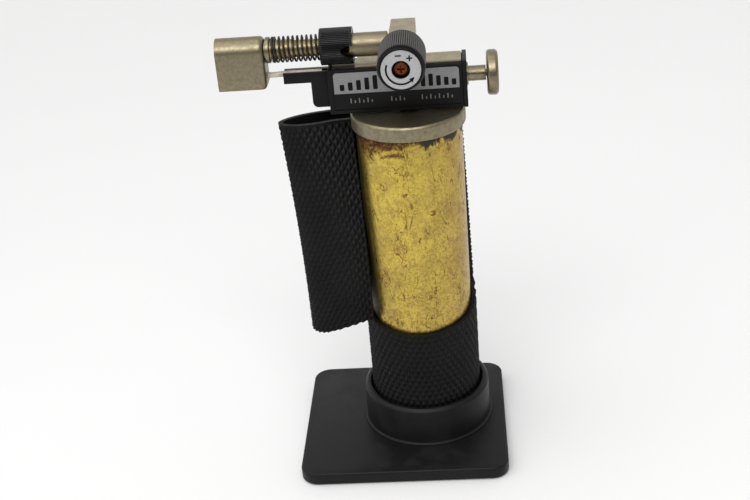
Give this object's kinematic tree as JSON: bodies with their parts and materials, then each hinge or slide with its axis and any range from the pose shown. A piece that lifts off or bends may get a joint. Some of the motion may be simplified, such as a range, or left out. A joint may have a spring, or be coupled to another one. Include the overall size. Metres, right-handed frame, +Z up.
{
  "type": "lampwork torch",
  "caption": "Small refillable gas torch for lampwork, upright round tank with a peeled knurled sleeve, flat head, flame hood, air ring, gas knob and push igniter, in a plastic stand.",
  "frame": {"origin": "on the floor under the stand, on the axis of the gas tank", "axes": "+X from the flame hood to the igniter button, +Y to the back, away from the gas knob, +Z up along the tank"},
  "size_m": [0.0823, 0.0617, 0.1398],
  "materials": {
    "stand_plastic": "fine matte moulded black",
    "ballast_steel": "plain",
    "foot_rubber": "matte",
    "tank_brass": "worn, tarnished and spotted",
    "nickel": "satin nickel plate with a warm tint",
    "valve_brass": "turned",
    "spring_steel": "bright wire",
    "spring_dark": "dark oiled wire",
    "seal_rubber": "smooth",
    "sleeve_rubber": "moulded lozenge knurl",
    "head_plastic": "satin black",
    "label_silver": "printed satin foil",
    "screw_steel": "plain",
    "screw_copper": "red-brown lacquer",
    "piezo_plastic": "plain",
    "lead_insulation": "pale translucent",
    "copper": "drawn copper wire",
    "filter_bronze": "sintered",
    "knob_plastic": "fine knurl, dark grey",
    "ring_plastic": "ribbed black"
  },
  "bodies": {
    "stand": {"stand_base": "stand_plastic", "ballast_plate": "ballast_steel", "foot_sheet": "foot_rubber"},
    "torch": {"tank_shell": "tank_brass", "tank_cap": "nickel", "tank_seal": "seal_rubber", "grip_sleeve": "sleeve_rubber", "refill_valve_body": "valve_brass", "refill_valve_seal": "seal_rubber", "refill_valve_spring": "spring_steel", "front_cover": "head_plastic", "rear_cover": "head_plastic", "head_end_cap": "head_plastic", "head_stud": "nickel", "cover_screw_1": "screw_steel", "cover_screw_2": "screw_steel", "cover_screw_3": "screw_steel", "label_plate": "label_silver", "chassis_plate": "nickel", "electrode_arm": "head_plastic", "electrode_wire": "copper", "spark_lead": "lead_insulation", "piezo_unit": "piezo_plastic", "plunger_spring": "spring_steel", "plunger_bushing": "nickel", "valve_block": "nickel", "gas_riser": "nickel", "pickup_filter": "filter_bronze", "spindle_seal": "seal_rubber", "packing_nut": "nickel", "gas_jet": "valve_brass", "mixing_tube": "nickel", "burner_barrel": "nickel", "stop_ring": "nickel", "barrel_spring": "spring_dark", "flame_holder": "valve_brass", "flame_hood": "nickel"},
    "gas_knob": {"gas_knob": "knob_plastic", "knob_label": "label_silver", "knob_screw": "screw_copper", "needle_spindle": "spring_steel"},
    "air_ring": {"air_ring": "ring_plastic"},
    "igniter": {"plunger_shaft": "nickel", "igniter_button": "nickel"},
    "refill_stem": {"refill_valve_stem": "valve_brass"}
  },
  "joints": [
    {"name": "torch_lift", "type": "slide", "parent": "stand", "child": "torch", "axis": [0, 0, 1], "range_m": [0, 0.016]},
    {"name": "gas_knob_turn", "type": "hinge", "parent": "torch", "child": "gas_knob", "pos_m": [0, -0.0175, 0.133], "axis": [0, -1, 0], "range_deg": [0, 270]},
    {"name": "air_ring_turn", "type": "hinge", "parent": "torch", "child": "air_ring", "pos_m": [-0.0194, 0, 0.133], "axis": [1, 0, 0], "range_deg": [-45, 60]},
    {"name": "igniter_press", "type": "slide", "parent": "torch", "child": "igniter", "axis": [-1, 0, 0], "range_m": [0, 0.0045], "stiffness_N_per_m": 900, "springref_m": -0.002, "deforming": ["plunger_spring"]},
    {"name": "refill_valve_press", "type": "slide", "parent": "torch", "child": "refill_stem", "axis": [0, 0, 1], "range_m": [0, 0.0012], "stiffness_N_per_m": 700, "springref_m": -0.001, "deforming": ["refill_valve_spring"]}
  ]
}
